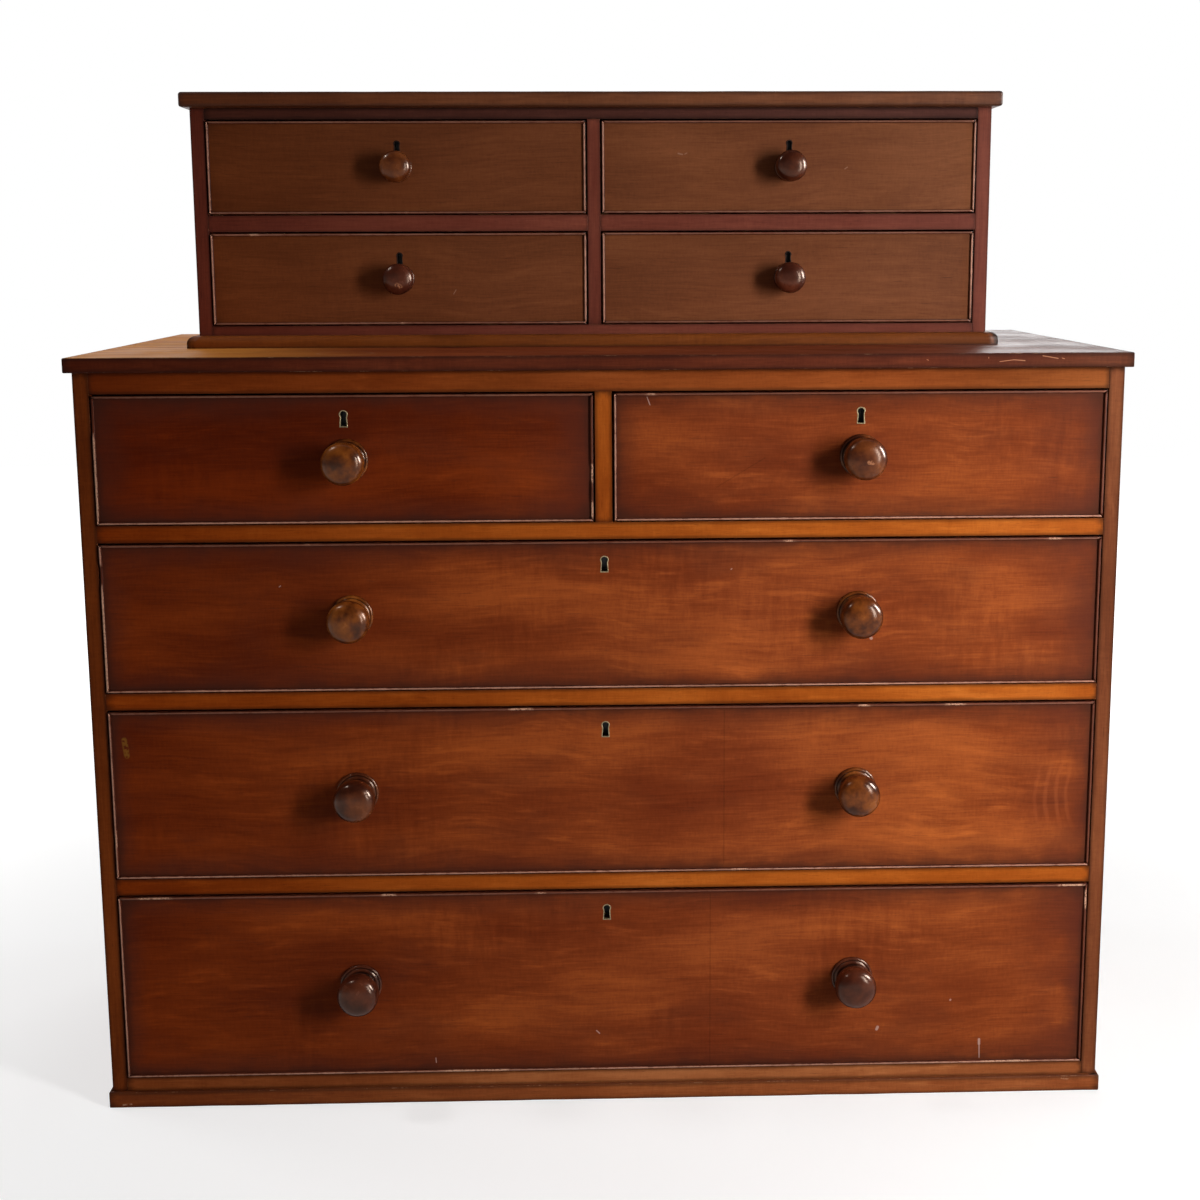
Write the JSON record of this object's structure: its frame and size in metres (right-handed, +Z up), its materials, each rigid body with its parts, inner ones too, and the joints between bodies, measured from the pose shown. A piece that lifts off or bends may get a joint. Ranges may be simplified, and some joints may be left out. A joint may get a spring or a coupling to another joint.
{
  "type": "chest on chest",
  "caption": "Wide wooden chest of graduated drawers with a smaller chest of little drawers standing on its top, with turned knobs, beaded drawer edges and a lock in each drawer.",
  "frame": {"origin": "on the floor, under the middle of the whole piece: midway across the lower top, and midway between the tips of the large knobs and the back", "axes": "+Z up, the drawers open towards -Y, +X to the right of someone facing the drawers"},
  "size_m": [1.22, 0.5986, 1.219],
  "materials": {
    "mahogany_rails": "satin",
    "mahogany_tops": "gloss",
    "mahogany_upper": "satin",
    "moulding_wood": "satin",
    "lower_drawer_fronts": "satin",
    "upper_drawer_fronts": "satin",
    "cock_beads": "satin",
    "knob_wood": "gloss",
    "drawer_linings": "matte",
    "pine": "matte",
    "keyhole_brass": "satin",
    "lock_brass": "satin",
    "bolt_brass": "satin"
  },
  "bodies": {
    "case": {"plinth_frame": "mahogany_rails", "lower_side_left": "mahogany_rails", "lower_side_right": "mahogany_rails", "lower_top": "mahogany_tops", "lower_top_rail": "mahogany_rails", "lower_dividing_rails": "mahogany_rails", "lower_bottom_rail": "mahogany_rails", "lower_divider": "mahogany_rails", "lower_runners": "pine", "lower_kickers": "pine", "lower_drawer_stops": "pine", "lower_back_boards": "pine", "upper_side_left": "mahogany_upper", "upper_side_right": "mahogany_upper", "upper_lid": "mahogany_tops", "upper_frieze_rail": "mahogany_upper", "upper_middle_rails": "mahogany_upper", "upper_bottom_rail": "mahogany_upper", "upper_divider": "mahogany_upper", "upper_runners": "pine", "upper_drawer_stops": "pine", "upper_bottom_board": "pine", "upper_back_panel": "pine", "upper_base_moulding": "moulding_wood"},
    "small_top_left_drawer": {"small_top_left_front": "upper_drawer_fronts", "small_top_left_box": "drawer_linings", "small_top_left_lock": "lock_brass"},
    "small_top_left_lock_bolt": {"small_top_left_bolt": "bolt_brass"},
    "small_top_right_drawer": {"small_top_right_front": "upper_drawer_fronts", "small_top_right_box": "drawer_linings", "small_top_right_lock": "lock_brass"},
    "small_top_right_lock_bolt": {"small_top_right_bolt": "bolt_brass"},
    "small_low_left_drawer": {"small_low_left_front": "upper_drawer_fronts", "small_low_left_box": "drawer_linings", "small_low_left_lock": "lock_brass"},
    "small_low_left_lock_bolt": {"small_low_left_bolt": "bolt_brass"},
    "small_low_right_drawer": {"small_low_right_front": "upper_drawer_fronts", "small_low_right_box": "drawer_linings", "small_low_right_lock": "lock_brass"},
    "small_low_right_lock_bolt": {"small_low_right_bolt": "bolt_brass"},
    "short_left_drawer": {"short_left_front": "lower_drawer_fronts", "short_left_box": "drawer_linings", "short_left_lock": "lock_brass"},
    "short_left_lock_bolt": {"short_left_bolt": "bolt_brass"},
    "short_right_drawer": {"short_right_front": "lower_drawer_fronts", "short_right_box": "drawer_linings", "short_right_lock": "lock_brass"},
    "short_right_lock_bolt": {"short_right_bolt": "bolt_brass"},
    "long_top_drawer": {"long_top_front": "lower_drawer_fronts", "long_top_box": "drawer_linings", "long_top_lock": "lock_brass"},
    "long_top_lock_bolt": {"long_top_bolt": "bolt_brass"},
    "long_middle_drawer": {"long_middle_front": "lower_drawer_fronts", "long_middle_box": "drawer_linings", "long_middle_lock": "lock_brass"},
    "long_middle_lock_bolt": {"long_middle_bolt": "bolt_brass"},
    "long_bottom_drawer": {"long_bottom_front": "lower_drawer_fronts", "long_bottom_box": "drawer_linings", "long_bottom_lock": "lock_brass"},
    "long_bottom_lock_bolt": {"long_bottom_bolt": "bolt_brass"}
  },
  "joints": [
    {"name": "small_top_left_slide", "type": "slide", "parent": "case", "child": "small_top_left_drawer", "axis": [0, -1, 0], "range_m": [0, 0.24]},
    {"name": "small_top_left_bolt_throw", "type": "slide", "parent": "small_top_left_drawer", "child": "small_top_left_lock_bolt", "axis": [0, 0, 1], "range_m": [0, 0.007]},
    {"name": "small_top_right_slide", "type": "slide", "parent": "case", "child": "small_top_right_drawer", "axis": [0, -1, 0], "range_m": [0, 0.24]},
    {"name": "small_top_right_bolt_throw", "type": "slide", "parent": "small_top_right_drawer", "child": "small_top_right_lock_bolt", "axis": [0, 0, 1], "range_m": [0, 0.007]},
    {"name": "small_low_left_slide", "type": "slide", "parent": "case", "child": "small_low_left_drawer", "axis": [0, -1, 0], "range_m": [0, 0.24]},
    {"name": "small_low_left_bolt_throw", "type": "slide", "parent": "small_low_left_drawer", "child": "small_low_left_lock_bolt", "axis": [0, 0, 1], "range_m": [0, 0.007]},
    {"name": "small_low_right_slide", "type": "slide", "parent": "case", "child": "small_low_right_drawer", "axis": [0, -1, 0], "range_m": [0, 0.24]},
    {"name": "small_low_right_bolt_throw", "type": "slide", "parent": "small_low_right_drawer", "child": "small_low_right_lock_bolt", "axis": [0, 0, 1], "range_m": [0, 0.007]},
    {"name": "short_left_slide", "type": "slide", "parent": "case", "child": "short_left_drawer", "axis": [0, -1, 0], "range_m": [0, 0.38]},
    {"name": "short_left_bolt_throw", "type": "slide", "parent": "short_left_drawer", "child": "short_left_lock_bolt", "axis": [0, 0, 1], "range_m": [0, 0.007]},
    {"name": "short_right_slide", "type": "slide", "parent": "case", "child": "short_right_drawer", "axis": [0, -1, 0], "range_m": [0, 0.38]},
    {"name": "short_right_bolt_throw", "type": "slide", "parent": "short_right_drawer", "child": "short_right_lock_bolt", "axis": [0, 0, 1], "range_m": [0, 0.007]},
    {"name": "long_top_slide", "type": "slide", "parent": "case", "child": "long_top_drawer", "axis": [0, -1, 0], "range_m": [0, 0.38]},
    {"name": "long_top_bolt_throw", "type": "slide", "parent": "long_top_drawer", "child": "long_top_lock_bolt", "axis": [0, 0, 1], "range_m": [0, 0.007]},
    {"name": "long_middle_slide", "type": "slide", "parent": "case", "child": "long_middle_drawer", "axis": [0, -1, 0], "range_m": [0, 0.38]},
    {"name": "long_middle_bolt_throw", "type": "slide", "parent": "long_middle_drawer", "child": "long_middle_lock_bolt", "axis": [0, 0, 1], "range_m": [0, 0.007]},
    {"name": "long_bottom_slide", "type": "slide", "parent": "case", "child": "long_bottom_drawer", "axis": [0, -1, 0], "range_m": [0, 0.38]},
    {"name": "long_bottom_bolt_throw", "type": "slide", "parent": "long_bottom_drawer", "child": "long_bottom_lock_bolt", "axis": [0, 0, 1], "range_m": [0, 0.007]}
  ]
}
